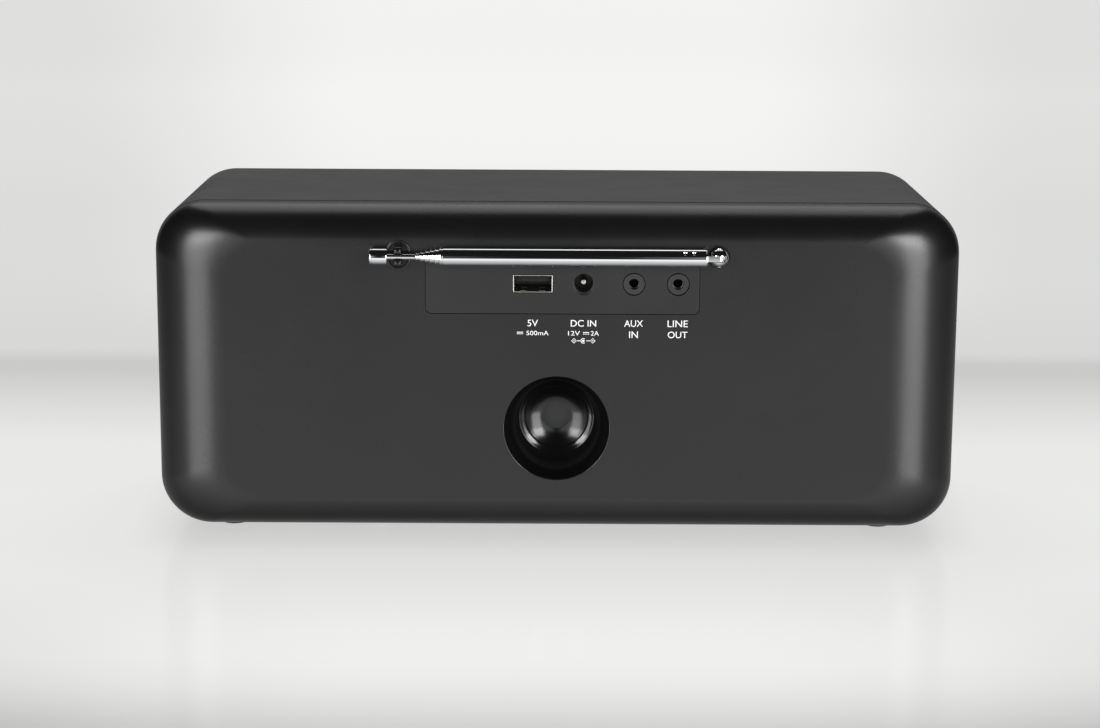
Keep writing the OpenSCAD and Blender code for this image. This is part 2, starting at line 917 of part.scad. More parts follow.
cabinet_sleeve();
rear_cover();
front_baffle();
grille(-1);  // grille_left
grille(1);  // grille_right
control_fascia();
display_window();
display_module();
jack_plate();
bass_port();
foot(-1, foot_ys[0]);  // foot_front_left
foot(1, foot_ys[0]);  // foot_front_right
foot(-1, foot_ys[1]);  // foot_rear_left
foot(1, foot_ys[1]);  // foot_rear_right
usb_shell();
usb_tongue();
dc_jack();
dc_pin();
audio_jack(aux_x);  // aux_jack
audio_jack(line_x);  // line_jack
main_board();
radio_module();
front_board();
tact_switches();
ribbon_cable();
speaker_leads();
encoder_body();
encoder_slider();
encoder_shaft();
tuning_knob();
for (i = [1:6])
    button(button_places[i - 1]);
speaker_frame(-1);  // speaker_frame_left
speaker_frame(1);  // speaker_frame_right
speaker_magnet(-1);  // speaker_magnet_left
speaker_magnet(1);  // speaker_magnet_right
speaker_cone(-1);  // speaker_cone_left
speaker_cone(1);  // speaker_cone_right
speaker_surround(-1);  // speaker_surround_left
speaker_surround(1);  // speaker_surround_right
speaker_screws();
board_screws();
case_screws();
antenna_swivel();
antenna_pin();
antenna_screw();
antenna_plug();
for (i = [1:6])
    antenna_tube(i);
antenna_rod();
antenna_tip();
antenna_clip();
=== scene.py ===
import json
import math

import bmesh
import bpy
from mathutils import Matrix, Vector

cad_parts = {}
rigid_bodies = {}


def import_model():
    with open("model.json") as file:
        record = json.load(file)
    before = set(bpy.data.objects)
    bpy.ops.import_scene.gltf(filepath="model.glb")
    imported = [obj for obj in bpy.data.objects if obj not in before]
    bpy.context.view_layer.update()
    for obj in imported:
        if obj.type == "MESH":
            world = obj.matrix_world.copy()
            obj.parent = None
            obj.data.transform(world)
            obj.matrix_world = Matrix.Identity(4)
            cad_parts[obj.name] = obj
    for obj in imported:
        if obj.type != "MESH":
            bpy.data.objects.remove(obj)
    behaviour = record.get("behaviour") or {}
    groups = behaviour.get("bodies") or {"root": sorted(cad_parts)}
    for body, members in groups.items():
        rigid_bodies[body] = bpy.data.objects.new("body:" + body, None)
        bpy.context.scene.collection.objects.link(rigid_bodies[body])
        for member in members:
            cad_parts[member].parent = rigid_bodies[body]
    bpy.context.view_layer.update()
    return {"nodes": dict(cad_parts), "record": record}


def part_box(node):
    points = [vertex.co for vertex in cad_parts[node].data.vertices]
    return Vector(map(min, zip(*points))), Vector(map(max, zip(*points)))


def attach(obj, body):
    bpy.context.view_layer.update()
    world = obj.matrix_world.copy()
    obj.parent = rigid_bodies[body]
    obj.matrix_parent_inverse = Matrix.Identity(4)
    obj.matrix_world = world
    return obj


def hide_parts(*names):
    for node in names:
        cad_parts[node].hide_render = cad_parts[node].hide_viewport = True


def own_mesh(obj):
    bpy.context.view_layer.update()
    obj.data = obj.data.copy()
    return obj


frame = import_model()
scene = bpy.context.scene
NODES = frame["nodes"]
MM = 0.001


# ---------------------------------------------------------------- places, in mm, from the frame

def box(node):
    low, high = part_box(node)
    return low * 1000, high * 1000


def middle(node):
    low, high = box(node)
    return (low + high) / 2


sleeve_low, sleeve_high = box("cabinet_sleeve")
WIDTH = sleeve_high.x - sleeve_low.x
HEIGHT = sleeve_high.z - sleeve_low.z
Z_LOW, Z_TOP = sleeve_low.z, sleeve_high.z
Z_MID = (Z_LOW + Z_TOP) / 2
Y_FRONT, Y_SEAM = sleeve_low.y, sleeve_high.y
Y_BACK = box("rear_cover")[1].y
CORNER_R = 17.0
BACK_CORNER_R = 12.0
SLEEVE_WALL = 3.0
COVER_WALL = 2.6
SIDE_ROUND, TOP_ROUND = 25.0, 13.0
SEAM_STEP = 0.2
FEET = ("foot_front_left", "foot_front_right", "foot_rear_left", "foot_rear_right")
FOOT_R = 5.0
SCREW_HEAD_R = 2.8
PORT = middle("bass_port")
PORT_R = 17.5
DISH_R = 10.45
DISC_R = 4.8
PLATE_LOW, PLATE_HIGH = box("jack_plate")
PLATE = (PLATE_LOW + PLATE_HIGH) / 2
PRINT_Y = Y_BACK + 0.012
CLIP = middle("antenna_clip")
tube_low, tube_high = box("antenna_tube_1")
MAST_X = middle("antenna_swivel").x
MAST_Y = (tube_low.y + tube_high.y) / 2
MAST_Z = (tube_low.z + tube_high.z) / 2
TUBES = range(1, 7)
CRIMP_ANGLES = (69, 189, 309)
COLLAR_R = 3.5
KNOB_LOW, KNOB_HIGH = box("tuning_knob")
KNOB = (KNOB_LOW + KNOB_HIGH) / 2
KNOB_R = (KNOB_HIGH.x - KNOB_LOW.x) / 2
BUTTONS = range(1, 7)
MARKED_BUTTON = 2


# ---------------------------------------------------------------- shader node helpers

def map_range(tree, value, source, target, kind="SMOOTHSTEP"):
    """Maps a value from the source range to the target range, held at the ends."""
    made = tree.nodes.new("ShaderNodeMapRange")
    made.interpolation_type = kind
    entries = ("From Min", "From Max", "To Min", "To Max")
    for entry, number in zip(entries, (*source, *target)):
        made.inputs[entry].default_value = number
    tree.links.new(value, made.inputs["Value"])
    return made.outputs["Result"]


def math_node(tree, operation, *values):
    made = tree.nodes.new("ShaderNodeMath")
    made.operation = operation
    for entry, value in zip(made.inputs, values):
        if isinstance(value, float):
            entry.default_value = value
        else:
            tree.links.new(value, entry)
    return made.outputs["Value"]


def split_place(tree, space):
    """The X, Y and Z outputs of a texture coordinate."""
    place = tree.nodes.new("ShaderNodeTexCoord")
    split = tree.nodes.new("ShaderNodeSeparateXYZ")
    tree.links.new(place.outputs[space], split.inputs["Vector"])
    return [split.outputs[axis] for axis in "XYZ"]


# ---------------------------------------------------------------- materials

class Material:
    """A principled material whose colour, roughness and bump come from noise in object space."""

    def __init__(self, name, roughness, metallic=0.0, specular=0.5, coat=0.0, coat_roughness=0.1, sheen=0.0):
        self.data = bpy.data.materials.new(name)
        self.data.use_nodes = True
        self.tree = self.data.node_tree
        self.shader = self.tree.nodes["Principled BSDF"]
        for entry, value in (
            ("Roughness", roughness), ("Metallic", metallic), ("IOR", 1.5), ("Specular IOR Level", specular),
            ("Coat Weight", coat), ("Coat Roughness", coat_roughness), ("Sheen Weight", sheen),
        ):
            self.shader.inputs[entry].default_value = value
        self.place = self.node("ShaderNodeTexCoord").outputs["Object"]
        self.bump_from = None

    def node(self, kind, **settings):
        made = self.tree.nodes.new(kind)
        for key, value in settings.items():
            setattr(made, key, value)
        return made

    def link(self, a, b):
        self.tree.links.new(a, b)

    def stretched(self, scale):
        mapping = self.node("ShaderNodeMapping")
        mapping.inputs["Scale"].default_value = scale
        self.link(self.place, mapping.inputs["Vector"])
        return mapping.outputs["Vector"]

    def noise(self, scale, detail=3.0, rough=0.55, stretch=None):
        made = self.node("ShaderNodeTexNoise")
        made.inputs["Scale"].default_value = scale
        made.inputs["Detail"].default_value = detail
        made.inputs["Roughness"].default_value = rough
        self.link(self.stretched(stretch) if stretch else self.place, made.inputs["Vector"])
        return made.outputs["Fac"]

    def ranged(self, value, low, high, start=0.3, end=0.7):
        return map_range(self.tree, value, (start, end), (low, high))

    def colour(self, first, second, factor):
        mix = self.node("ShaderNodeMix", data_type="RGBA")
        ends = [entry for entry in mix.inputs if entry.type == "RGBA"]
        for entry, value in zip(ends, (first, second)):
            entry.default_value = (*value, 1)
        self.link(factor, mix.inputs["Factor"])
        out = [entry for entry in mix.outputs if entry.type == "RGBA"][0]
        self.link(out, self.shader.inputs["Base Color"])

    def roughness(self, value):
        self.link(value, self.shader.inputs["Roughness"])

    def bump(self, height, distance, strength=1.0):
        made = self.node("ShaderNodeBump")
        made.inputs["Strength"].default_value = strength
        made.inputs["Distance"].default_value = distance
        self.link(height, made.inputs["Height"])
        if self.bump_from is not None:
            self.link(self.bump_from, made.inputs["Normal"])
        self.bump_from = made.outputs["Normal"]
        self.link(self.bump_from, self.shader.inputs["Normal"])


def shade(colour, factor):
    return tuple(min(1.0, c * factor) for c in colour)


def moulded(name, colour, roughness, grain=2600.0, depth=0.000012, spread=0.05, **more):
    """Moulded plastic: a fine even grain, and a slight drift in shade and gloss."""
    m = Material(name, roughness, **more)
    m.colour(shade(colour, 0.86), shade(colour, 1.16), m.noise(38.0, 4.0))
    smudge = m.noise(22.0, 5.0, 0.65)
    m.roughness(m.ranged(smudge, roughness - spread, roughness + spread))
    m.bump(m.noise(grain, 2.0, 0.6), depth)
    return m


def painted(name, colour, roughness, **more):
    """Sprayed paint: orange peel under a fine grain."""
    m = moulded(name, colour, roughness, grain=3400.0, depth=0.000008, **more)
    m.bump(m.noise(420.0, 2.0, 0.4), 0.000004)
    return m


def glossy(name, colour, roughness, **more):
    """Polished plastic with faint hairlines and a few smears."""
    m = Material(name, roughness, **more)
    m.colour(shade(colour, 0.8), shade(colour, 1.2), m.noise(30.0, 3.0))
    hair = m.noise(900.0, 2.0, 0.5, stretch=(1.0, 1.0, 9.0))
    m.roughness(m.ranged(m.noise(26.0, 5.0, 0.7), roughness * 0.7, roughness * 1.5))
    m.bump(hair, 0.0000012)
    return m


def metal(name, colour, roughness, stretch=(1.0, 1.0, 1.0), grain=1500.0, depth=0.000002, **more):
    """Metal with drawing marks along one axis and a slight drift in gloss."""
    m = Material(name, roughness, metallic=1.0, **more)
    m.colour(shade(colour, 0.93), shade(colour, 1.05), m.noise(60.0, 4.0))
    marks = m.noise(grain, 3.0, 0.6, stretch=stretch)
    m.roughness(m.ranged(marks, roughness * 0.7, roughness * 1.4))
    m.bump(marks, depth)
    return m


def rubbery(name, colour, roughness):
    m = Material(name, roughness, specular=0.35, sheen=0.15)
    m.colour(shade(colour, 0.75), shade(colour, 1.3), m.noise(140.0, 5.0, 0.7))
    m.roughness(m.ranged(m.noise(90.0, 4.0), roughness - 0.08, roughness + 0.08))
    m.bump(m.noise(1700.0, 3.0, 0.7), 0.00003)
    return m


def pulp(name, colour, roughness):
    """Pressed paper: matted fibres."""
    m = Material(name, roughness, specular=0.25)
    fibre = m.noise(700.0, 6.0, 0.75, stretch=(1.0, 1.0, 3.0))
    m.colour(shade(colour, 0.6), shade(colour, 1.7), fibre)
    m.roughness(m.ranged(fibre, roughness - 0.1, roughness + 0.05))
    m.bump(fibre, 0.00008)
    return m


def board(name, colour, roughness):
    """Lacquered board with copper tracks showing through as a change in shade."""
    m = Material(name, roughness, coat=0.3)
    cells = m.node("ShaderNodeTexVoronoi", feature="DISTANCE_TO_EDGE", distance="MANHATTAN")
    cells.inputs["Scale"].default_value = 260.0
    m.link(m.place, cells.inputs["Vector"])
    tracks = m.ranged(cells.outputs["Distance"], 0.0, 1.0, 0.05, 0.09)
    m.colour(shade(colour, 1.7), colour, tracks)
    m.roughness(m.ranged(m.noise(80.0), roughness - 0.06, roughness + 0.06))
    m.bump(tracks, 0.00002)
    return m


def spun(name, colour, roughness, centre):
    """A turned face: fine rings about an axis along Y."""
    m = Material(name, roughness, coat=0.25, coat_roughness=0.12)
    away = m.node("ShaderNodeVectorMath", operation="SUBTRACT")
    away.inputs[1].default_value = (centre.x * MM, 0, centre.z * MM)
    flat = m.node("ShaderNodeVectorMath", operation="MULTIPLY")
    flat.inputs[1].default_value = (1, 0, 1)
    m.link(m.place, away.inputs[0])
    m.link(away.outputs["Vector"], flat.inputs[0])
    length = m.node("ShaderNodeVectorMath", operation="LENGTH")
    m.link(flat.outputs["Vector"], length.inputs[0])
    rings = m.node("ShaderNodeTexNoise", noise_dimensions="1D")
    rings.inputs["Scale"].default_value = 6500.0
    rings.inputs["Detail"].default_value = 3.0
    m.link(length.outputs["Value"], rings.inputs["W"])
    m.colour(shade(colour, 0.8), shade(colour, 1.35), rings.outputs["Fac"])
    m.roughness(m.ranged(rings.outputs["Fac"], roughness * 0.75, roughness * 1.3))
    m.bump(rings.outputs["Fac"], 0.000006)
    return m


def make_slot_materials():
    """One material for each slot of the record."""
    along_mast = (0.04, 1.0, 1.0)
    made = {
        "sleeve_paint": painted("sleeve_paint", (0.022, 0.0195, 0.0235), 0.4),
        "cover_plastic": moulded("cover_plastic", (0.005, 0.0053, 0.0051), 0.28, spread=0.025),
        "inner_plastic": moulded("inner_plastic", (0.012, 0.012, 0.012), 0.55),
        "grille_metal": painted("grille_metal", (0.014, 0.014, 0.015), 0.42),
        "gloss_black": glossy("gloss_black", (0.005, 0.005, 0.0055), 0.07, coat=0.4, coat_roughness=0.04),
        "display_window": glossy("display_window", (0.004, 0.0045, 0.006), 0.03, coat=0.6,
                                 coat_roughness=0.02),
        "display_module": moulded("display_module", (0.08, 0.085, 0.09), 0.4),
        "plate_plastic": moulded("plate_plastic", (0.0065, 0.0067, 0.0067), 0.34, spread=0.03),
        "port_gloss": glossy("port_gloss", (0.004, 0.004, 0.004), 0.1),
        "nickel": metal("nickel", (0.62, 0.6, 0.56), 0.24),
        "contact_plastic": moulded("contact_plastic", (0.004, 0.004, 0.004), 0.5, specular=0.25),
        "jack_plastic": moulded("jack_plastic", (0.016, 0.016, 0.0165), 0.33),
        "circuit_board": board("circuit_board", (0.012, 0.09, 0.04), 0.35),
        "ribbon": moulded("ribbon", (0.45, 0.45, 0.42), 0.45),
        "lead_insulation": moulded("lead_insulation", (0.3, 0.015, 0.015), 0.4),
        "zinc": metal("zinc", (0.55, 0.55, 0.53), 0.3),
        "slider_nylon": moulded("slider_nylon", (0.7, 0.69, 0.63), 0.5),
        "knob_gloss": glossy("knob_gloss", (0.006, 0.006, 0.0065), 0.14),
        "screw_steel": metal("screw_steel", (0.42, 0.42, 0.42), 0.3),
        "chrome": metal("chrome", (0.83, 0.84, 0.85), 0.055, stretch=along_mast, grain=2500.0,
                        depth=0.0000006),
        "clip_plastic": glossy("clip_plastic", (0.006, 0.006, 0.006), 0.18),
        "rubber": rubbery("rubber", (0.012, 0.012, 0.012), 0.7),
        "button_plastic": moulded("button_plastic", (0.016, 0.016, 0.017), 0.36),
        "frame_steel": painted("frame_steel", (0.03, 0.03, 0.033), 0.45),
        "magnet": moulded("magnet", (0.06, 0.06, 0.063), 0.6),
        "cone_paper": pulp("cone_paper", (0.012, 0.012, 0.013), 0.85),
        "surround_rubber": rubbery("surround_rubber", (0.01, 0.01, 0.01), 0.55),
    }
    return {name: m.data for name, m in made.items()}


def make_piece_materials():
    """Materials that only the pieces of this script wear."""
    made = {
        # darker metal: painted shade inside the charging port's shell and the audio sockets
        "metal_painted_shade": metal("metal_painted_shade", (0.1, 0.1, 0.092), 0.4),
        "port_dish": moulded("port_dish", (0.004, 0.004, 0.004), 0.16, spread=0.03),
        "port_disc": moulded("port_disc", (0.026, 0.027, 0.027), 0.55, spread=0.03),
        "brass_contact": metal("brass_contact", (0.75, 0.58, 0.28), 0.22),
        "print_white": moulded("print_white", (0.74, 0.75, 0.74), 0.55, spread=0.04),
        "screen_off": glossy("screen_off", (0.010, 0.012, 0.016), 0.05, coat=0.6, coat_roughness=0.02),
        "knob_gloss": spun("knob_face", (0.010, 0.010, 0.011), 0.2, KNOB),
    }
    return {name: m.data for name, m in made.items()}


MATERIALS = make_slot_materials()
SLOT_OF = {part["node"]: part["material_slot"] for part in frame["record"]["subparts"]}
for node_name, cad_object in NODES.items():
    for material_slot in cad_object.material_slots:
        material_slot.material = MATERIALS[SLOT_OF[node_name]]
MATERIALS.update(make_piece_materials())


# ---------------------------------------------------------------- mesh helpers, in mm

def link_mesh(name, bm, smooth=35.0):
    bmesh.ops.remove_doubles(bm, verts=bm.verts, dist=1e-4)
    bmesh.ops.recalc_face_normals(bm, faces=bm.faces)
    mesh = bpy.data.meshes.new(name)
    bm.to_mesh(mesh)
    bm.free()
    mesh.transform(Matrix.Scale(MM, 4))
    made = bpy.data.objects.new(name, mesh)
    scene.collection.objects.link(made)
    mesh.shade_smooth()
    mesh.set_sharp_from_angle(angle=math.radians(smooth))
    return made


def bake(obj):
    """Applies an object's modifiers to its mesh."""
    graph = bpy.context.evaluated_depsgraph_get()
    graph.update()
    mesh = bpy.data.meshes.new_from_object(obj.evaluated_get(graph))
    obj.modifiers.clear()
    obj.data = mesh
    return obj


def cut(obj, *cutters):
    for cutter in cutters:
        boolean = obj.modifiers.new("cut", "BOOLEAN")
        boolean.object = cutter
        boolean.operation = "DIFFERENCE"
        boolean.solver = "EXACT"
    bake(obj)
    for cutter in cutters:
        bpy.data.objects.remove(cutter)
    return obj


def weigh_normals(obj, smooth):
    """Smooth shading with sharp edges kept, its normals led by the large faces."""
    obj.data.shade_smooth()
    obj.data.set_sharp_from_angle(angle=math.radians(smooth))
    weighted = obj.modifiers.new("normals", "WEIGHTED_NORMAL")
    weighted.keep_sharp = True
    return bake(obj)


def soften(obj, width, segments=3, angle=40.0, smooth=30.0):
    """Rounds the sharp edges of a finished solid."""
    obj.data.shade_smooth()
    bevel = obj.modifiers.new("bevel", "BEVEL")
    bevel.width = width * MM
    bevel.segments = segments
    bevel.limit_method = "ANGLE"
    bevel.angle_limit = math.radians(angle)
    bevel.use_clamp_overlap = True
    return weigh_normals(bake(obj), smooth)


# what the front light falls on
FRONT_PIECES = bpy.data.collections.new("front_pieces")
FRONT_NODES = [
    "grille_left", "grille_right", "front_baffle", "control_fascia", "display_window", "tuning_knob",
    *("button_%d" % k for k in BUTTONS),
]
for front_node in FRONT_NODES:
    FRONT_PIECES.objects.link(NODES[front_node])


def dress(obj, slot, body, *nodes):
    """Gives a piece its material and body, and hides the CAD nodes it stands for."""
    obj.data.materials.clear()
    obj.data.materials.append(MATERIALS[slot])
    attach(obj, body)
    if nodes:
        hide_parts(*nodes)
    if set(FRONT_NODES).intersection(nodes):
        FRONT_PIECES.objects.link(obj)


def dress_plain(obj, material, body):
    """Dresses a small piece whose material is not a slot of the record."""
    obj.data.materials.clear()
    obj.data.materials.append(MATERIALS[material])
    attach(obj, body)


def ring(w, h, r, y, steps=16, cx=0.0, cz=Z_MID):
    """Points of a rounded rectangle at level y."""
    points = []
    for corner in range(4):
        sx = 1 if corner in (0, 3) else -1
        sz = 1 if corner < 2 else -1
        for step in range(steps + 1):
            a = math.radians(90 * (corner + step / steps))
            x, z = cx + sx * (w / 2 - r), cz + sz * (h / 2 - r)
            points.append((x + r * math.cos(a), y, z + r * math.sin(a)))
    return points


def bridge(bm, rows):
    """Faces between each row of vertices and the next; every row is a closed loop."""
    count = len(rows[0])
    for a, b in zip(rows, rows[1:]):
        for k in range(count):
            bm.faces.new((a[k], a[(k + 1) % count], b[(k + 1) % count], b[k]))


def loft(bm, rings, closed=False):
    """A skin over rings of points, closed on itself or capped at both ends."""
    rows = [[bm.verts.new(p) for p in points] for points in rings]
    bridge(bm, rows + rows[:1] if closed else rows)
    if not closed:
        bm.faces.new(rows[0][::-1])
        bm.faces.new(rows[-1])


def loft_solid(name, rings, closed=False, smooth=35.0):
    bm = bmesh.new()
    loft(bm, rings, closed)
    return link_mesh(name, bm, smooth)


def lathe(name, profile, place, steps=96, smooth=35.0):
    """Turns (radius, distance) points; place(radius, angle, distance) gives the point in mm."""
    bm = bmesh.new()
    rows = []
    for radius, along in profile:
        if radius < 1e-6:
            rows.append([bm.verts.new(place(0.0, 0.0, along))])
        else:
            rows.append([bm.verts.new(place(radius, 2 * math.pi * k / steps, along)) for k in range(steps)])
    for a, b in zip(rows, rows[1:] + rows[:1]):
        for k in range(steps):
            corners = [a[k % len(a)], a[(k + 1) % len(a)], b[(k + 1) % len(b)], b[k % len(b)]]
            corners = list(dict.fromkeys(corners))
            if len(corners) > 2:
                bm.faces.new(corners)
    return link_mesh(name, bm, smooth)


def about_y(x, z, y=0.0):
    """Places lathe points about an axis along Y."""
    return lambda r, a, d: (x + r * math.cos(a), y + d, z + r * math.sin(a))


def about_mast(r, a, d):
    """Places a lathe point about the antenna's own axis, d counted from its swivel."""
    return (MAST_X + d, MAST_Y + r * math.cos(a), MAST_Z + r * math.sin(a))


def about_z(x, y):
    """Places lathe points about an upright axis."""
    return lambda r, a, d: (x + r * math.cos(a), y + r * math.sin(a), d)


def arc(cx, cy, r, start, end, steps=8):
    """Points of a round corner, angles in degrees."""
    angles = [math.radians(start + (end - start) * k / steps) for k in range(steps + 1)]
    return [(cx + r * math.cos(a), cy + r * math.sin(a)) for a in angles]


def flipped(points):
    """Swaps the two coordinates, for an arc drawn along the antenna."""
    return [(y, x) for x, y in points]


def curve_through(p, q, r, e, t):
    """Catmull-Rom interpolation between q and r."""
    square = 2 * p - 5 * q + 4 * r - e
    cube = 3 * q - p - 3 * r + e
    return 0.5 * (2 * q + (r - p) * t + square * t * t + cube * t ** 3)


def spline(points, steps):
    """A smooth line through the points."""
    ends = [points[0]] + points + [points[-1]]
    line = []
    for group in zip(ends, ends[1:], ends[2:], ends[3:]):
        for k in range(steps):
            line.append(tuple(curve_through(*values, k / steps) for values in zip(*group)))
    return line + [points[-1]]


def add_block(bm, low, high):
    """Adds a box between two corners."""
    for v in bmesh.ops.create_cube(bm, size=1.0)["verts"]:
        v.co = Vector([low[i] + (v.co[i] + 0.5) * (high[i] - low[i]) for i in range(3)])


def rod_y(name, x, z, r, low, high, steps=64):
    """A plain cylinder along Y."""
    return lathe(name, [(0, low), (r, low), (r, high), (0, high)], about_y(x, z), steps)


def from_cad(name, nodes, width, segments=3, dissolve=0.6, **options):
    """A copy of CAD nodes with their sharp edges rounded."""
    bm = bmesh.new()
    for node in nodes:
        bm.from_mesh(NODES[node].data)
    bmesh.ops.scale(bm, vec=(1000, 1000, 1000), verts=bm.verts)
    bmesh.ops.remove_doubles(bm, verts=bm.verts, dist=2e-3)
    bmesh.ops.dissolve_limit(
        bm, angle_limit=math.radians(dissolve), verts=bm.verts, edges=bm.edges, use_dissolve_boundaries=False
    )
    made = link_mesh(name, bm, 30.0)
    return soften(made, width, segments, **options) if width else made


# ---------------------------------------------------------------- cabinet

def inset_ring(inset, y, steps):
    """The cabinet's outline at level y, drawn in by an inset."""
    return ring(WIDTH - 2 * inset, HEIGHT - 2 * inset, CORNER_R - inset, y, steps)


def make_sleeve():
    """The painted case: a round-cornered tube with softened ends, foot seats and screw holes."""
    edge = arc(0.9, Y_FRONT + 0.9, 0.9, 180, 270, 8)
    inner = arc(SLEEVE_WALL - 0.4, Y_FRONT + 0.4, 0.4, 270, 360, 5)
    seam = arc(0.45, Y_SEAM - 0.45, 0.45, 90, 180, 5)
    profile = seam + edge + inner + [(SLEEVE_WALL, Y_SEAM)]
    rings = [inset_ring(inset, y, 24) for inset, y in profile]
    sleeve = loft_solid("sleeve", rings, closed=True, smooth=28.0)
    cutters = []
    seat_r, below = FOOT_R + 0.1, Z_LOW - 1
    for foot in FEET:
        at = middle(foot)
        seat = [(0, below), (seat_r, below), (seat_r, Z_LOW + 1), (0, Z_LOW + 1)]
        cutters.append(lathe("cut_" + foot, seat, about_z(at.x, at.y), 64))
    head_r, shank_r, head_z, shank_z = SCREW_HEAD_R + 0.4, 1.6, Z_LOW + 1.8, Z_LOW + 4
    hole = [(0, below), (head_r, below), (head_r, head_z)]
    hole += [(shank_r, head_z), (shank_r, shank_z), (0, shank_z)]
    screws_low, screws_high = box("case_screws")
    for sx in (-1, 1):
        for y in (screws_low.y + SCREW_HEAD_R, screws_high.y - SCREW_HEAD_R):
            place = about_z(sx * (screws_high.x - SCREW_HEAD_R), y)
            cutters.append(lathe("cut_screw_%d_%d" % (sx, round(y)), hole, place, 48))
    cut(sleeve, *cutters)
    weigh_normals(sleeve, 28.0)
    dress(sleeve, "sleeve_paint", "case", "cabinet_sleeve")


def cover_ring(a, wall=0.0):
    """The rear cover's outline at angle a of its rounded edge: 0 at the seam, a quarter turn at the back."""
    lean = 1 - math.cos(a)
    step = SEAM_STEP * math.cos(a)
    return ring(
        WIDTH - 2 * (SIDE_ROUND * lean + wall + step), HEIGHT - 2 * (TOP_ROUND * lean + wall + step),
        CORNER_R - wall - step - (CORNER_R - BACK_CORNER_R) * lean,
        Y_SEAM + (Y_BACK - Y_SEAM - wall) * math.sin(a), 20,
    )


def plate_cutter(name, margin, r, steps, low, high):
    """A round-cornered block, larger than the connector plate by a margin."""
    size = PLATE_HIGH - PLATE_LOW
    return loft_solid(name, [
        ring(size.x + margin, size.z + margin, r, y, steps, PLATE.x, PLATE.z) for y in (low, high)
    ])


def make_cover():
    """The moulded back, rounded on all sides, with the pocket for the plate and three round holes."""
    outer = [cover_ring(math.pi / 2 * k / 40) for k in range(41)]
    inner = [cover_ring(math.pi / 2 * k / 16, COVER_WALL) for k in range(17)]
    seam = ((SEAM_STEP + 0.2, 0.0), (SEAM_STEP + 0.05, 0.06), (SEAM_STEP, 0.2))
    start = [inset_ring(inset, Y_SEAM + rise, 20) for inset, rise in seam]
    cover = loft_solid("cover", inner[::-1] + start + outer[1:], smooth=28.0)
    pocket = plate_cutter("cut_pocket", 0.34, 2.0, 10, Y_BACK - 2.1, Y_BACK + 1)
    window = plate_cutter("cut_window", -4, 1.0, 6, Y_BACK - 4, Y_BACK - 1)
    mouth = rod_y("cut_mouth", PORT.x, PORT.z, PORT_R + 0.42, Y_BACK - 5, Y_BACK + 1, 128)
    socket_hole = rod_y("cut_socket", MAST_X, MAST_Z, 3.8, Y_BACK - 2.5, Y_BACK + 1, 64)
    peg = rod_y("cut_peg", CLIP.x, CLIP.z, 2.0, Y_BACK - 4, Y_BACK + 1, 32)
    cut(cover, pocket, window, mouth, socket_hole, peg)
    soften(cover, 0.16, 2, angle=50.0, smooth=28.0)
    dress(cover, "cover_plastic", "case", "rear_cover")


def make_port():
    """A glossy cup: steep wall, narrow shoulder, grained dish and a flat centre.

    Its points are (radius, distance), with distances below zero going into the case.
    """
    place = about_y(PORT.x, PORT.z, Y_BACK)
    lip_r = PORT_R + 0.34
    wall = [(PORT_R - 0.1, -3), (16.9, -7), (16, -10.5), (14.7, -13.6), (13, -16.2)]
    shoulder = [(12.4, -16.72), (12, -16.98), (11.6, -17.2), (11.2, -17.41), (10.85, -17.62), (10.6, -17.9),
                (DISH_R, -18.2)]
    dish = [(DISH_R, -18.2), (9.5, -18.79), (8.5, -19.34), (7.5, -19.8), (6.5, -20.2), (5.6, -20.48),
            (DISC_R, -20.66)]
    floor = dish[-1][1]
    below_dish = [(DISH_R, -18.4), (10.2, -19.6), (5, -21.5), (0, -21.5)]
    outer = [(0, -22), (5.6, -22), (12.4, -18.6), (15.2, -14.8), (17.6, -9), (18.8, -6), (PORT_R + 0.6, -3.4),
             (PORT_R + 0.4, 0.0)]
    lip = [(lip_r, 0.0)] + arc(lip_r, -0.34, 0.34, 90, 180, 6) + [(PORT_R, -2.0)]
    cup = lathe("port_cup", lip + spline(wall + shoulder, 5) + below_dish + outer, place, 160, smooth=40.0)
    dress(cup, "port_gloss", "case", "bass_port")
    under_floor = [(DISC_R - 0.02, floor - 0.1), (0, floor - 0.1), (0, -21.3), (5, -21.3), (10.1, -19.4)]
    grained = lathe("port_dish", [(10.5, -18.3)] + spline(dish, 5) + under_floor, place, 160, smooth=40.0)
    dress_plain(grained, "port_dish", "case")
    disc_r = DISC_R - 0.03
    disc = lathe("port_disc", [
        (0, floor - 0.14), (disc_r, floor - 0.14), (disc_r, floor - 0.04), (disc_r - 0.09, floor), (0, floor),
    ], place, 96)
    dress_plain(disc, "port_disc", "case")


def make_feet():
    profile = [(0, 0.25), (2.6, 0.25), (3.0, 0.0)] + arc(4.4, 0.6, 0.6, 270, 360, 6)
    profile += [(FOOT_R, 3.0), (0, 3.0)]
    for foot in FEET:
        at = middle(foot)
        piece = lathe(foot.replace("foot_", "pad_"), profile, about_z(at.x, at.y), 64)
        dress(piece, "rubber", "case", foot)


# ---------------------------------------------------------------- connectors

def make_plate():
    """The connector plate, with a fine gap round each round connector."""
    plate = from_cad("connector_plate", ["jack_plate"], 0.0)
    gaps = []
    for node in ("aux_jack", "line_jack", "dc_jack"):
        x, top = middle(node).x, PLATE_HIGH.y
        gaps.append(rod_y("gap_" + node, x, PLATE.z, COLLAR_R + 0.2, top - 0.9, top + 1, 96))
    cut(plate, *gaps)
    soften(plate, 0.16, 3)
    dress(plate, "plate_plastic", "case", "jack_plate")


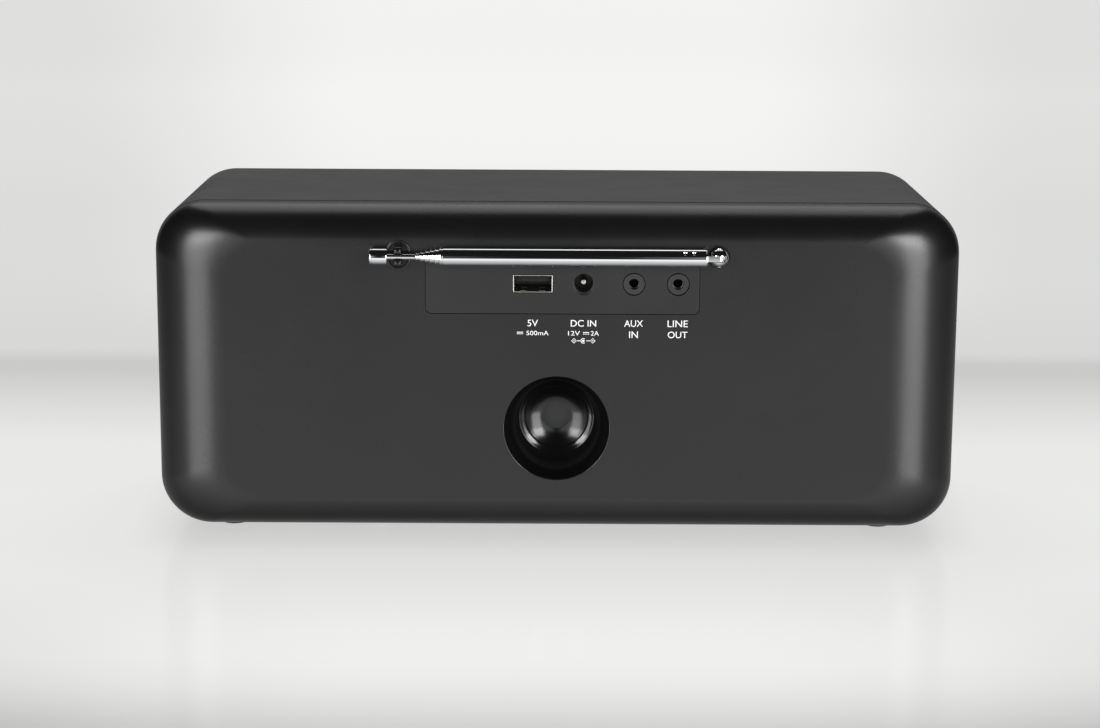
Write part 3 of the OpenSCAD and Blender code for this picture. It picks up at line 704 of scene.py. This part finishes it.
def make_charging_port():
    """Metal shell whose inside wears darker metal as painted shade, tongue with four contacts, and two spring
    fingers.
    """
    shell = from_cad("port_shell", ["usb_shell"], 0.1, 2)
    dress(shell, "nickel", "case", "usb_shell")
    shell.data.materials.append(MATERIALS["metal_painted_shade"])
    shell_low, shell_high = box("usb_shell")
    # faces inside the shell take the darker metal: painted shade in the recess
    for face in shell.data.polygons:
        x, y, z = face.center * 1000
        within_x = shell_low.x + 0.2 < x < shell_high.x - 0.2
        within_z = shell_low.z + 0.2 < z < shell_high.z - 0.2
        if within_x and within_z and y < shell_high.y - 0.35:
            face.material_index = 1
    tongue = from_cad("port_tongue", ["usb_tongue"], 0.12, 2)
    dress(tongue, "contact_plastic", "case", "usb_tongue")
    low, high = box("usb_tongue")
    contacts = bmesh.new()
    for k in range(4):
        x = low.x + (high.x - low.x) * (k + 0.5) / 4
        add_block(contacts, (x - 0.55, high.y - 8.4, low.z - 0.07), (x + 0.55, high.y - 0.8, low.z + 0.03))
    strip = soften(link_mesh("port_contacts", contacts), 0.03, 1)
    dress_plain(strip, "brass_contact", "case")
    springs = bmesh.new()
    bends = ((1.2, 0.04), (3.0, 0.5), (5.4, 0.36), (8.4, 0.04))
    for sx in (-1, 1):
        x = (shell_low.x + shell_high.x) / 2 + sx * 3.1
        rings = []
        for depth, rise in bends:
            y, z = shell_high.y - depth, shell_low.z + 0.3 + rise
            rings.append([(x - 1.0, y, z), (x + 1.0, y, z), (x + 1.0, y, z + 0.12), (x - 1.0, y, z + 0.12)])
        loft(springs, rings)
    dress(link_mesh("port_springs", springs), "nickel", "case")


def make_power_jack():
    barrel = from_cad("power_jack", ["dc_jack"], 0.15, 2)
    dress(barrel, "jack_plastic", "case", "dc_jack")
    low, high = box("dc_pin")
    at = (low + high) / 2
    r = (high.x - low.x) / 2
    profile = [(0, high.y)] + arc(r - 0.45, high.y - 0.45, 0.45, 90, 0, 6) + [(r, low.y), (0, low.y)]
    pin = lathe("power_pin", profile, about_y(at.x, at.z), 48)
    dress(pin, "nickel", "case", "dc_pin")


def make_audio_sockets():
    """The two sockets, each with a contact ring and a contact leaf inside."""
    rim = Y_BACK - 0.2
    for name, node in (("aux_socket", "aux_jack"), ("line_socket", "line_jack")):
        jack = from_cad(name, [node], 0.22, 3)
        dress(jack, "jack_plastic", "case", node)
        x = middle(node).x
        # the contact ring and leaf wear the darker metal: painted shade inside the socket
        profile = [(1.79, rim - 2.6), (1.62, rim - 2.7), (1.62, rim - 5.2), (1.79, rim - 5.3)]
        contact = lathe(name + "_contact", profile, about_y(x, box(node)[1].z - 4.5), 48)
        dress_plain(contact, "metal_painted_shade", "case")
        leaf = bmesh.new()
        add_block(leaf, (x - 0.55, rim - 9.4, PLATE.z + 0.9), (x + 0.55, rim - 6.4, PLATE.z + 1.75))
        dress_plain(soften(link_mesh(name + "_leaf", leaf), 0.2, 3), "metal_painted_shade", "case")


# ---------------------------------------------------------------- printed labels

def flat_text(text, height, width, x, z):
    """Text as a thin mesh on the rear panel, read from behind."""
    curve = bpy.data.curves.new("label", "FONT")
    curve.body = text
    curve.size = 1.0
    curve.resolution_u = 4
    made = bpy.data.objects.new("label", curve)
    scene.collection.objects.link(made)
    graph = bpy.context.evaluated_depsgraph_get()
    mesh = bpy.data.meshes.new_from_object(made.evaluated_get(graph))
    bpy.data.objects.remove(made)
    all_x, all_y = [v.co.x for v in mesh.vertices], [v.co.y for v in mesh.vertices]
    left, right, low, high = min(all_x), max(all_x), min(all_y), max(all_y)
    bm = bmesh.new()
    bm.from_mesh(mesh)
    for v in bm.verts:
        across = (v.co.x - (left + right) / 2) * width / (right - left)
        up = (v.co.y - (low + high) / 2) * height / (high - low)
        v.co = Vector((x - across, PRINT_Y, z + up))
    return bm


def add_bar(bm, x, z, w, h):
    corners = [(x - w / 2, z - h / 2), (x - w / 2, z + h / 2), (x + w / 2, z + h / 2), (x + w / 2, z - h / 2)]
    bm.faces.new([bm.verts.new((px, PRINT_Y, pz)) for px, pz in corners])


def add_arc(bm, x, z, r, thick, start, end, steps=24):
    """A printed arc, its angles in degrees and mirrored to be read from behind."""
    rows = []
    for k in range(steps + 1):
        a = math.radians(start + (end - start) * k / steps)
        rows.append([
            bm.verts.new((x - q * math.cos(a), PRINT_Y, z + q * math.sin(a)))
            for q in (r - thick / 2, r + thick / 2)
        ])
    for a, b in zip(rows, rows[1:]):
        bm.faces.new((a[0], a[1], b[1], b[0]))


def make_labels():
    """Plain generic words and ratings, a direct-current sign by each rating, and the polarity sign."""
    usb, power = middle("usb_shell").x, middle("dc_jack").x
    aux, line = middle("aux_jack").x, middle("line_jack").x
    first, second, third = 74.65, 70.95, 68.75
    large, small = 2.2, 1.5
    words = (
        ("5V", large, 3.5, usb, first), ("500mA", small, 7.4, usb - 1.6, second + 0.35),
        ("DC IN", large, 8.4, power, first), ("12V", small, 3.9, power + 3.1, second + 0.35),
        ("2A", small, 2.7, power - 3.8, second + 0.35), ("AUX", large, 6.2, aux, first),
        ("IN", large, 2.9, aux, second - 0.05), ("LINE", large, 6.7, line, first),
        ("OUT", large, 6.5, line, second - 0.05),
    )
    parts = [flat_text(*word) for word in words]
    marks = bmesh.new()
    for x in (usb + 4.2, power - 0.9):
        add_bar(marks, x, second + 0.62, 2.0, 0.24)
        for k in (-1, 0, 1):
            add_bar(marks, x + 0.74 * k, second + 0.08, 0.52, 0.24)
    # polarity: a plus and a minus in diamonds, joined by lines to an arc and a dot
    for sx in (-1, 1):
        add_arc(marks, power + sx * 3.1, third, 0.8, 0.2, 0, 360, 4)
        add_bar(marks, power + sx * 1.7, third, 1.5, 0.22)
        add_bar(marks, power + sx * 3.1, third, 0.6, 0.2)
    add_bar(marks, power - 3.1, third, 0.2, 0.6)
    add_arc(marks, power, third, 0.78, 0.22, 50, 310, 24)
    add_arc(marks, power, third, 0.2, 0.4, 0, 360, 16)
    parts.append(marks)
    labels = bmesh.new()
    for part in parts:
        mesh = bpy.data.meshes.new("part")
        part.to_mesh(mesh)
        part.free()
        labels.from_mesh(mesh)
        bpy.data.meshes.remove(mesh)
    for face in labels.faces:
        face.normal_update()
        if face.normal.y < 0:
            face.normal_flip()
    mesh = bpy.data.meshes.new("port_labels")
    labels.to_mesh(mesh)
    labels.free()
    mesh.transform(Matrix.Scale(MM, 4))
    made = bpy.data.objects.new("port_labels", mesh)
    scene.collection.objects.link(made)
    mesh.materials.append(MATERIALS["print_white"])
    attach(made, "case")


# ---------------------------------------------------------------- antenna

def span_on_mast(node):
    """Radius of an antenna node, and where it starts and ends along the mast."""
    low, high = box(node)
    return (high.z - low.z) / 2, low.x - MAST_X, high.x - MAST_X


def crimp(piece, r, start):
    """Presses two rings of round dents into the end of the outer tube."""
    dents = []
    away = r + 0.72
    for along in (4.0, 6.9):
        for degrees in CRIMP_ANGLES:
            a = math.radians(degrees)
            centre = (MAST_X + start + along, MAST_Y - away * math.sin(a), MAST_Z + away * math.cos(a))
            bm = bmesh.new()
            bmesh.ops.create_icosphere(bm, subdivisions=3, radius=1.0)
            bmesh.ops.translate(bm, vec=centre, verts=bm.verts)
            dents.append(link_mesh("dent_%d_%d" % (round(along), degrees), bm))
    cut(piece, *dents)
    soften(piece, 0.05, 2, angle=35.0, smooth=45.0)


def make_tubes():
    """Telescoping tubes, each with a groove and a rounded bead at its far end."""
    for n in TUBES:
        node = "antenna_tube_%d" % n
        r, start, end = span_on_mast(node)
        inner = r - 0.3
        bead = arc(end - 0.42, r - 0.42, 0.42, 125, 45, 8)
        profile = [(inner, start), (r, start), (r, end - 1.4), (r - 0.12, end - 1.25), (r - 0.14, end - 0.72)]
        profile += flipped(bead) + [(inner + 0.02, end), (inner, end - 0.1)]
        piece = lathe("mast_section_%d" % n, profile, about_mast, 72, smooth=50.0)
        if n == 1:
            crimp(piece, r, start)
        dress(piece, "chrome", "mast_%d" % n, node)


def make_rod_and_tip():
    r, start, end = span_on_mast("antenna_rod")
    rod = lathe("mast_rod", [(0, start), (r, start), (r, end), (0, end)], about_mast, 48)
    dress(rod, "chrome", "mast_7", "antenna_rod")
    r, start, end = span_on_mast("antenna_tip")
    bore = 0.92
    profile = [(bore, start), (r - 0.5, start)] + flipped(arc(start + 0.35, r - 0.35, 0.35, 180, 90, 6))
    profile += [(r, end - 1.15), (r - 0.09, end - 1.05), (r - 0.09, end - 0.9), (r, end - 0.8)]
    profile += flipped(arc(end - 0.6, r - 0.6, 0.6, 90, 0, 8))
    profile += [(r - 1.3, end), (r - 1.6, end - 0.12), (0, end - 0.12), (0, start + 3), (bore, start + 3)]
    tip = lathe("mast_tip", profile, about_mast, 72, smooth=40.0)
    dress(tip, "chrome", "mast_7", "antenna_tip")


def make_swivel():
    for name, width, segments, material, body in (
        ("plug", 0.18, 3, "chrome", "mast_1"), ("swivel", 0.14, 3, "chrome", "swivel"),
        ("pin", 0.1, 2, "screw_steel", "swivel"),
    ):
        node = "antenna_" + name
        dress(from_cad("mast_" + name, [node], width, segments), material, body, node)


def make_clip():
    """An oval base with a raised rim, and two jaws, one above and one below the mast."""
    rim = ((0, 0), (0, 0.62), (0.1, 0.82), (0.3, 0.9), (0.75, 0.9), (0.95, 0.78), (1.05, 0.6))
    oval = loft_solid("clip_base", [
        ring(8 - 2 * inset, 10 - 2 * inset, 3.9 - inset, Y_BACK + rise, 16, CLIP.x, CLIP.z)
        for inset, rise in rim
    ], smooth=40.0)
    dress(oval, "clip_plastic", "case", "antenna_clip")
    # level, inner and outer distance from the mast's axis, and half the width along the mast
    sections = (
        (Y_BACK + 0.5, 1.35, 3.5, 1.6), (MAST_Y - 1.9, 1.32, 3.45, 1.5), (MAST_Y - 0.9, 1.2, 3.4, 1.45),
        (MAST_Y, 1.3, 3.35, 1.42), (MAST_Y + 0.55, 1.1, 3.2, 1.35), (MAST_Y + 0.95, 1.12, 2.9, 1.2),
        (MAST_Y + 1.25, 1.35, 2.55, 0.95), (MAST_Y + 1.36, 1.6, 2.3, 0.6),
    )
    for side, sz in (("upper", 1), ("lower", -1)):
        rings = []
        for y, low, high, half in sections:
            r = min(half, (high - low) / 2) * 0.55
            rings.append(ring(2 * half, high - low, r, y, 6, CLIP.x, CLIP.z + sz * (low + high) / 2))
        jaw = loft_solid("clip_jaw_" + side, rings, smooth=50.0)
        dress(jaw, "clip_plastic", "case")
        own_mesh(jaw)


# ---------------------------------------------------------------- front

def mark_white(piece, body):
    """A printed mark, which is no slot of the record."""
    piece.data.materials.append(MATERIALS["print_white"])
    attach(piece, body)


def make_fascia():
    """The glossy centre panel, its window, and the dark screen area behind the window's face."""
    fascia = from_cad("fascia", ["control_fascia"], 0.35, 3)
    dress(fascia, "gloss_black", "case", "control_fascia")
    window = from_cad("window", ["display_window"], 0.3, 3)
    dress(window, "display_window", "case", "display_window")
    low, high = box("display_window")
    width, height, z = high.x - low.x - 5, high.z - low.z - 6, (low.z + high.z) / 2 + 0.4
    area = loft_solid("screen_area", [
        ring(width, height, 0.8, y, 6, 0.0, z) for y in (low.y - 0.012, low.y + 0.05)
    ])
    dress_plain(area, "screen_off", "case")
    FRONT_PIECES.objects.link(area)


def make_buttons():
    """Shallow dished caps on a flange and a stem; one has a raised dot to find it by touch."""
    for k in BUTTONS:
        node = "button_%d" % k
        at = middle(node)
        front = box(node)[0].y
        place = about_y(at.x, at.z, front)
        profile = [(0, 0.3), (2.2, 0.22), (3.3, 0.04), (3.7, 0)] + arc(4.02, 0.48, 0.48, 270, 360, 6)
        profile += [(4.5, 3.5), (5.6, 3.5), (5.6, 4.3), (2, 4.3), (2, 5.8), (0, 5.8)]
        dress(lathe("key_cap_%d" % k, profile, place, 72), "button_plastic", "key_%d" % k, node)
        if k == MARKED_BUTTON:
            dot = lathe("key_mark_%d" % k, [(0, 0.16), (0.55, 0.17), (0.62, 0.24), (0, 0.28)], place, 32)
            mark_white(dot, "key_%d" % k)


def make_knob():
    """Fluted skirt, rounded rim, a slightly dished turned face and a bore for the shaft."""
    flutes, steps, sharpness = 36, 10, 1.6
    count = flutes * steps
    front, back, bore, r = KNOB_LOW.y, KNOB_HIGH.y, 3.05, KNOB_R
    bm = bmesh.new()

    def circle(radius, y, depth=0.0):
        row = []
        for k in range(count):
            a = 2 * math.pi * k / count
            q = radius - depth * max(0.0, math.cos(flutes * a)) ** sharpness
            row.append(bm.verts.new((KNOB.x + q * math.cos(a), y, KNOB.z + q * math.sin(a))))
        return row

    mouth = circle(bore, back)
    skirt = [
        (r - 0.5, back, 0.0), (r - 0.08, back - 0.3, 0.4), (r, back - 0.7, 0.5), (r, front + 2.2, 0.5),
        (r, front + 1.7, 0.3), (r, front + 1.45, 0.0),
    ]
    face = arc(r - 0.9, front + 0.9, 0.9, 0, -90, 8) + [
        (r - 2.0, front), (r - 2.3, front + 0.08), (r - 2.6, front + 0.4), (r - 5.5, front + 0.55),
        (r - 10, front + 0.68), (1.0, front + 0.72),
    ]
    rows = [mouth] + [circle(*level) for level in skirt] + [circle(*level) for level in face]
    bridge(bm, rows)
    bm.faces.new(rows[-1])
    end = circle(bore, front + 3.1)
    bridge(bm, [end, mouth])
    bm.faces.new(end[::-1])
    knob = link_mesh("knob", bm, 40.0)
    mark = loft_solid("knob_mark", [
        ring(1.0, 4.6, 0.49, y, 8, KNOB.x, KNOB.z + r - 6.2) for y in (front + 0.5, front + 0.62)
    ])
    mark_white(mark, "dial")
    dress(knob, "knob_gloss", "dial", "tuning_knob")


make_sleeve()
make_cover()
make_port()
make_feet()
make_plate()
make_charging_port()
make_power_jack()
make_audio_sockets()
make_labels()
make_tubes()
make_rod_and_tip()
make_swivel()
make_clip()
make_fascia()
make_knob()
make_buttons()


# ---------------------------------------------------------------- stage, light and camera, in metres

CAMERA_PLACE = (0.0023, 0.859, 0.2242)
CAMERA_FORWARD = (0, -0.98, -0.199)
CAMERA_ROLL = 0.0052
FOCAL_IN_WIDTHS = 2472 / 1100
SENSOR_WIDTH = 36.0


def make_floor_mesh():
    """A wide flat disc, in rings of growing size."""
    around = 96
    bm = bmesh.new()
    rows = []
    for radius in (0.4, 0.8, 1.5, 3.0, 6.0, 9.0):
        turns = [2 * math.pi * k / around for k in range(around)]
        rows.append([bm.verts.new((radius * math.cos(a), radius * math.sin(a), 0)) for a in turns])
    bm.faces.new(rows[0])
    bridge(bm, rows)
    mesh = bpy.data.meshes.new("floor")
    bm.to_mesh(mesh)
    bm.free()
    return mesh


def make_floor_material():
    """A pale sheet whose glow is painted light and shade: a painted sweep with a darker soft fold, a wall
    palest in the middle, a painted pool of light in front of the object, a painted shadow under it, and
    painted shade towards the near edge.
    """
    material = bpy.data.materials.new("floor")
    material.use_nodes = True
    tree = material.node_tree
    shader = tree.nodes["Principled BSDF"]
    shader.inputs["Base Color"].default_value = (0.62, 0.62, 0.615, 1)
    shader.inputs["Roughness"].default_value = 0.16
    shader.inputs["Specular IOR Level"].default_value = 0.2
    shader.inputs["Emission Color"].default_value = (1.0, 1.0, 0.992, 1)
    x, y, _ = split_place(tree, "Object")
    aside = math_node(tree, "ABSOLUTE", x)
    near, far = -1.6, 0.4
    # glow by distance along Y: painted shade in the soft fold and towards the near edge
    painted_glow_levels = [
        (-1.6, 0.585), (-0.78, 0.517), (-0.46, 0.53), (-0.275, 0.52), (-0.247, 0.43), (-0.225, 0.435),
        (-0.158, 0.553), (-0.086, 0.665), (0.06, 0.675), (0.1, 0.69), (0.16, 0.645), (0.182, 0.62),
        (0.203, 0.565), (0.2226, 0.47), (0.24, 0.36), (0.3, 0.5), (0.4, 0.6),
    ]
    ramp = tree.nodes.new("ShaderNodeValToRGB")
    tree.links.new(map_range(tree, y, (near, far), (0.0, 1.0), "LINEAR"), ramp.inputs["Fac"])
    while len(ramp.color_ramp.elements) < len(painted_glow_levels):
        ramp.color_ramp.elements.new(0.5)
    for element, (level_y, level) in zip(ramp.color_ramp.elements, painted_glow_levels):
        element.position = (level_y - near) / (far - near)
        element.color = (level, level, level, 1)

    def product(*factors):
        made = factors[0]
        for factor in factors[1:]:
            made = math_node(tree, "MULTIPLY", made, factor)
        return made

    # painted light: a pool of glow on the wall, palest in the middle
    spread = math_node(tree, "DIVIDE", aside, math_node(tree, "SUBTRACT", CAMERA_PLACE[1], y))
    wall = product(
        map_range(tree, spread, (0.07, 0.2), (0.15, 0.0)), map_range(tree, y, (-0.25, -0.5), (0.0, 1.0)),
    )
    # painted light: a pool of glow on the floor in front of the object, on the camera's side
    before = product(
        map_range(tree, aside, (0.05, 0.2), (0.17, 0.0)), map_range(tree, y, (0.06, 0.2), (0.0, 1.0)),
        map_range(tree, y, (0.25, 0.4), (1.0, 0.0)),
    )
    # painted shadow: less glow on the floor under the object and just in front of it
    painted_shadow = product(
        map_range(tree, aside, (0.115, 0.15), (-0.13, 0.0)), map_range(tree, y, (0.035, 0.08), (1.0, 0.0)),
        map_range(tree, y, (-0.2, -0.1), (0.0, 1.0)),
    )
    glow = math_node(tree, "ADD", math_node(tree, "ADD", wall, before), painted_shadow)
    tree.links.new(math_node(tree, "ADD", ramp.outputs["Color"], glow), shader.inputs["Emission Strength"])
    return material


def make_floor():
    mesh = make_floor_mesh()
    mesh.materials.append(make_floor_material())
    floor = bpy.data.objects.new("floor", mesh)
    scene.collection.objects.link(floor)
    # the object neither mirrors the floor nor takes light from it: the world does both jobs
    floor.visible_glossy = False
    floor.visible_diffuse = False
    floor.visible_shadow = False


def make_world():
    """A light tent by direction: bright below, pale behind, dim on the camera's side."""
    world = bpy.data.worlds.new("world")
    scene.world = world
    world.use_nodes = True
    tree = world.node_tree
    tree.nodes.clear()
    out = tree.nodes.new("ShaderNodeOutputWorld")
    x, y, z = split_place(tree, "Generated")
    aside = math_node(tree, "ABSOLUTE", x)

    def ramp(source, start, end, low, high):
        return map_range(tree, source, (start, end), (low, high))

    def both(operation, a, b):
        return math_node(tree, operation, a, b)

    below = both("MULTIPLY", ramp(z, -0.08, -0.26, 0.0, 1.15), ramp(z, -0.3, -0.8, 1.0, 0.55))
    facing = ramp(y, -0.1, 0.7, 0.35, 1.0)
    behind = ramp(y, -0.6, -0.92, 0.0, 0.23)
    fill_aside = both("MULTIPLY", ramp(aside, 0.02, 0.2, 0.0, 1.3), ramp(aside, 0.7, 0.9, 1.0, 0.0))
    fill_upright = both("MULTIPLY", ramp(z, 0.28, 0.42, 1.0, 0.0), ramp(z, -0.2, 0.05, 0.3, 1.0))
    fill = both("MULTIPLY", both("MULTIPLY", fill_aside, ramp(y, 0.2, 0.5, 0.0, 1.0)), fill_upright)
    brightest = both("MAXIMUM", both("MULTIPLY", below, facing), both("MAXIMUM", behind, fill))
    light = tree.nodes.new("ShaderNodeBackground")
    light.inputs["Color"].default_value = (1.0, 1.0, 1.0, 1)
    tree.links.new(both("ADD", brightest, 0.01), light.inputs["Strength"])
    # what the camera sees past the floor's edge
    seen = tree.nodes.new("ShaderNodeBackground")
    seen.inputs["Color"].default_value = (0.86, 0.86, 0.855, 1)
    seen.inputs["Strength"].default_value = 1.0
    path = tree.nodes.new("ShaderNodeLightPath")
    mix = tree.nodes.new("ShaderNodeMixShader")
    tree.links.new(path.outputs["Is Camera Ray"], mix.inputs["Fac"])
    tree.links.new(light.outputs["Background"], mix.inputs[1])
    tree.links.new(seen.outputs["Background"], mix.inputs[2])
    tree.links.new(mix.outputs["Shader"], out.inputs["Surface"])


def softbox(name, azimuth, elevation, distance, width, height, power):
    """An area light aimed at the object. Azimuth 0 is the connector side, which faces the camera."""
    a, e = math.radians(azimuth), math.radians(elevation)
    aim = Vector((0, 0.02, 0.06))
    away = Vector((math.sin(a) * math.cos(e), math.cos(a) * math.cos(e), math.sin(e)))
    data = bpy.data.lights.new(name, "AREA")
    data.shape = "RECTANGLE"
    data.size, data.size_y = width, height
    data.energy = power
    made = bpy.data.objects.new(name, data)
    made.location = aim + away * distance
    made.rotation_mode = "QUATERNION"
    made.rotation_quaternion = (-away).to_track_quat("-Z", "Y")
    made.visible_camera = False
    scene.collection.objects.link(made)
    return made


def make_camera():
    data = bpy.data.cameras.new("camera")
    data.sensor_width = SENSOR_WIDTH
    data.lens = FOCAL_IN_WIDTHS * SENSOR_WIDTH
    made = bpy.data.objects.new("camera", data)
    forward = Vector(CAMERA_FORWARD).normalized()
    level = forward.cross(Vector((0, 0, 1))).normalized()
    upright = level.cross(forward)
    right = level * math.cos(CAMERA_ROLL) + upright * math.sin(CAMERA_ROLL)
    up = upright * math.cos(CAMERA_ROLL) - level * math.sin(CAMERA_ROLL)
    turn = Matrix((right, up, -forward)).transposed()
    made.matrix_world = Matrix.Translation(CAMERA_PLACE) @ turn.to_4x4()
    data.clip_start, data.clip_end = 0.01, 50.0
    scene.collection.objects.link(made)
    scene.camera = made


make_floor()
make_world()
# the side lights leave the floor alone, so it shows no glare from them
off_floor = bpy.data.collections.new("off_floor")
for piece in scene.objects:
    if piece.type == "MESH" and piece.name != "floor":
        off_floor.objects.link(piece)
for side_light in (
    softbox("strip_left", 42, -1, 1.5, 0.7, 0.9, 7.4),
    softbox("strip_right", -40, -1, 1.5, 0.6, 0.9, 8.6),
    softbox("box_left", 42, 21, 1.5, 0.6, 0.36, 8.0),
    softbox("box_right", -40, 21, 1.5, 0.6, 0.36, 8.6),
):
    side_light.light_linking.receiver_collection = off_floor
softbox("box_behind", 180, 50, 1.6, 1.5, 1.0, 5.2)
front_light = softbox("box_front", 180, 5, 1.3, 2.4, 1.4, 7)
front_light.light_linking.receiver_collection = FRONT_PIECES
make_camera()
scene.view_settings.view_transform = "Standard"
scene.view_settings.look = "None"
